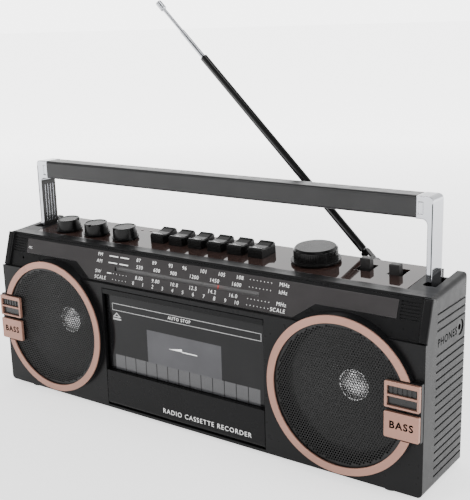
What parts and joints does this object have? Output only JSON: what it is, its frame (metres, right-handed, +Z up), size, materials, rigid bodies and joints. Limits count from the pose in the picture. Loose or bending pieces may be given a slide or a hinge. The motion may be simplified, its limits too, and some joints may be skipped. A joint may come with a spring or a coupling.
{
  "type": "portable radio-cassette player",
  "caption": "Portable radio-cassette player with two round speakers, front tape door, dial, piano keys, rotary knobs, swinging handle and telescopic antenna.",
  "frame": {"origin": "on the surface the feet stand on, under the middle of the box around the whole player", "axes": "+X along the cabinet to the listener's right, +Y to the back, +Z up; the front faces -Y"},
  "size_m": [0.34, 0.0692, 0.2806],
  "materials": {
    "antenna_black": "gloss black",
    "board_green": "circuit board",
    "brass": "turned",
    "cabinet_black": "satin moulded black",
    "chrome": "polished",
    "cone_paper": "paper cone, silvery dust cap",
    "deck_brown": "mirror-gloss brown",
    "dial_grey": "glossy dark grey, printed dial",
    "grille_black": "black perforated sheet",
    "grip_grey": "satin dark grey",
    "inner_plastic": "moulded",
    "key_black": "satin black",
    "knob_black": "glossy black",
    "lamp_red": "lens",
    "louvre_dark": "dark",
    "pointer_red": "red",
    "rose_gold": "satin rose gold",
    "rubber": "matt",
    "speaker_steel": "zinc-plated",
    "steel": "plain",
    "switch_grey": "grey",
    "window_tint": "tinted"
  },
  "bodies": {
    "cabinet": {"antenna_screw": "steel", "badge_frames": "rose_gold", "badge_louvres": "louvre_dark", "badge_plates": "rose_gold", "battery_contacts": "steel", "case_screws": "steel", "deck_plate": "deck_brown", "dial_panel": "dial_grey", "drive_belt": "rubber", "feet": "rubber", "front_cabinet": "cabinet_black", "handle_pivots": "steel", "indicator_lamps": "lamp_red", "main_board": "board_green", "mech_chassis": "steel", "motor": "steel", "phones_jack": "knob_black", "potentiometers": "steel", "power_inlet": "inner_plastic", "rear_cabinet": "cabinet_black", "speaker_cone_left": "cone_paper", "speaker_cone_right": "cone_paper", "speaker_frame_left": "speaker_steel", "speaker_frame_right": "speaker_steel", "speaker_grille_left": "grille_black", "speaker_grille_right": "grille_black", "speaker_ring_left": "rose_gold", "speaker_ring_right": "rose_gold", "tuning_capacitor": "inner_plastic"},
    "cassette_door": {"cassette_door": "cabinet_black", "door_window": "window_tint", "cassette_holder": "inner_plastic"},
    "head_bridge": {"head_bridge": "steel", "tape_heads": "steel"},
    "pinch_roller": {"pinch_roller": "rubber"},
    "supply_spindle": {"supply_spindle": "inner_plastic"},
    "takeup_spindle": {"takeup_spindle": "inner_plastic"},
    "capstan": {"capstan_flywheel": "steel"},
    "motor_rotor": {"motor_pulley": "brass"},
    "volume_knob": {"volume_knob": "knob_black"},
    "tone_knob": {"tone_knob": "knob_black"},
    "balance_knob": {"balance_knob": "knob_black"},
    "tuning_knob": {"tuning_knob": "knob_black"},
    "dial_pointer": {"dial_pointer": "pointer_red"},
    "function_switch": {"function_switch": "switch_grey"},
    "band_switch": {"band_switch": "switch_grey"},
    "handle": {"handle_grip": "grip_grey", "handle_arm_left": "chrome", "handle_arm_right": "chrome"},
    "antenna_swivel": {"antenna_swivel": "steel"},
    "antenna_tube": {"antenna_tube": "antenna_black"},
    "antenna_section": {"antenna_section": "chrome"},
    "antenna_rod": {"antenna_rod": "chrome"},
    "battery_door": {"battery_door": "cabinet_black"},
    "record_key": {"record_key": "key_black"},
    "play_key": {"play_key": "key_black"},
    "rewind_key": {"rewind_key": "key_black"},
    "fast_forward_key": {"fast_forward_key": "key_black"},
    "stop_eject_key": {"stop_eject_key": "key_black"},
    "pause_key": {"pause_key": "key_black"}
  },
  "joints": [
    {"name": "handle_fold", "type": "hinge", "parent": "cabinet", "child": "handle", "pos_m": [0, 0.0092, 0.1125], "axis": [1, 0, 0], "range_deg": [-12, 25]},
    {"name": "antenna_swing", "type": "hinge", "parent": "cabinet", "child": "antenna_swivel", "pos_m": [0.109, 0.0317, 0.1166], "axis": [0, 1, 0], "range_deg": [-44.3, 90]},
    {"name": "antenna_tilt", "type": "hinge", "parent": "antenna_swivel", "child": "antenna_tube", "pos_m": [0.1022, 0.0317, 0.12323], "axis": [-0.6984, 0, -0.7157], "range_deg": [0, 85]},
    {"name": "antenna_slide_1", "type": "slide", "parent": "antenna_tube", "child": "antenna_section", "axis": [-0.7157, 0, 0.6984], "range_m": [-0.0235, 0.115]},
    {"name": "antenna_slide_2", "type": "slide", "parent": "antenna_section", "child": "antenna_rod", "axis": [-0.7157, 0, 0.6984], "range_m": [-0.0165, 0.115]},
    {"name": "cassette_door_open", "type": "hinge", "parent": "cabinet", "child": "cassette_door", "pos_m": [-0.0019, -0.0265, 0.0074], "axis": [1, 0, 0], "range_deg": [0, 30]},
    {"name": "battery_door_open", "type": "hinge", "parent": "cabinet", "child": "battery_door", "pos_m": [0, 0.0282, 0.0054], "axis": [-1, 0, 0], "range_deg": [0, 85]},
    {"name": "volume_turn", "type": "hinge", "parent": "cabinet", "child": "volume_knob", "pos_m": [-0.1272, 0.001, 0.11858], "axis": [0, -0.0801, 0.9968], "range_deg": [-150, 150]},
    {"name": "tone_turn", "type": "hinge", "parent": "cabinet", "child": "tone_knob", "pos_m": [-0.0994, 0.001, 0.11858], "axis": [0, -0.0801, 0.9968], "range_deg": [-150, 150]},
    {"name": "balance_turn", "type": "hinge", "parent": "cabinet", "child": "balance_knob", "pos_m": [-0.0716, 0.001, 0.11858], "axis": [0, -0.0801, 0.9968], "range_deg": [-150, 150]},
    {"name": "tuning_turn", "type": "hinge", "parent": "cabinet", "child": "tuning_knob", "pos_m": [0.0783, 0.0113, 0.11941], "axis": [0, -0.0801, 0.9968], "range_deg": [-212, 864]},
    {"name": "pointer_slide", "type": "slide", "parent": "cabinet", "child": "dial_pointer", "axis": [1, 0, 0], "range_m": [-0.069, 0.017]},
    {"name": "record_press", "type": "slide", "parent": "cabinet", "child": "record_key", "axis": [0, 0.0801, -0.9968], "range_m": [0, 0.004], "stiffness_N_per_m": 300, "springref_m": -0.002},
    {"name": "play_press", "type": "slide", "parent": "cabinet", "child": "play_key", "axis": [0, 0.0801, -0.9968], "range_m": [0, 0.004], "stiffness_N_per_m": 300, "springref_m": -0.002},
    {"name": "rewind_press", "type": "slide", "parent": "cabinet", "child": "rewind_key", "axis": [0, 0.0801, -0.9968], "range_m": [0, 0.004], "stiffness_N_per_m": 300, "springref_m": -0.002},
    {"name": "fast_forward_press", "type": "slide", "parent": "cabinet", "child": "fast_forward_key", "axis": [0, 0.0801, -0.9968], "range_m": [0, 0.004], "stiffness_N_per_m": 300, "springref_m": -0.002},
    {"name": "stop_eject_press", "type": "slide", "parent": "cabinet", "child": "stop_eject_key", "axis": [0, 0.0801, -0.9968], "range_m": [0, 0.004], "stiffness_N_per_m": 300, "springref_m": -0.002},
    {"name": "pause_press", "type": "slide", "parent": "cabinet", "child": "pause_key", "axis": [0, 0.0801, -0.9968], "range_m": [0, 0.004], "stiffness_N_per_m": 300, "springref_m": -0.002},
    {"name": "head_bridge_slide", "type": "slide", "parent": "cabinet", "child": "head_bridge", "axis": [0, 0, -1], "range_m": [0, 0.0078]},
    {"name": "pinch_roller_spin", "type": "hinge", "parent": "head_bridge", "child": "pinch_roller", "pos_m": [-0.0319, -0.015, 0.0909], "axis": [0, 1, 0], "continuous": true},
    {"name": "supply_spin", "type": "hinge", "parent": "cabinet", "child": "supply_spindle", "pos_m": [-0.02315, -0.01, 0.05], "axis": [0, 1, 0], "continuous": true},
    {"name": "takeup_spin", "type": "hinge", "parent": "cabinet", "child": "takeup_spindle", "pos_m": [0.01935, -0.01, 0.05], "axis": [0, 1, 0], "continuous": true},
    {"name": "capstan_spin", "type": "hinge", "parent": "cabinet", "child": "capstan", "pos_m": [-0.0319, -0.01, 0.077], "axis": [0, 1, 0], "continuous": true},
    {"name": "motor_spin", "type": "hinge", "parent": "cabinet", "child": "motor_rotor", "pos_m": [0.0321, -0.004, 0.068], "axis": [0, 1, 0], "continuous": true},
    {"name": "function_switch_slide", "type": "slide", "parent": "cabinet", "child": "function_switch", "axis": [0, 0.9968, 0.0801], "range_m": [-0.0035, 0.0032]},
    {"name": "band_switch_slide", "type": "slide", "parent": "cabinet", "child": "band_switch", "axis": [0, 0.9968, 0.0801], "range_m": [0, 0.007]}
  ],
  "couplings": [
    {"joint": "pointer_slide", "follows": "tuning_turn", "m_per_rad": -0.00456},
    {"joint": "head_bridge_slide", "follows": "play_press", "ratio": 1.9},
    {"joint": "capstan_spin", "follows": "motor_spin", "ratio": 0.1976}
  ]
}
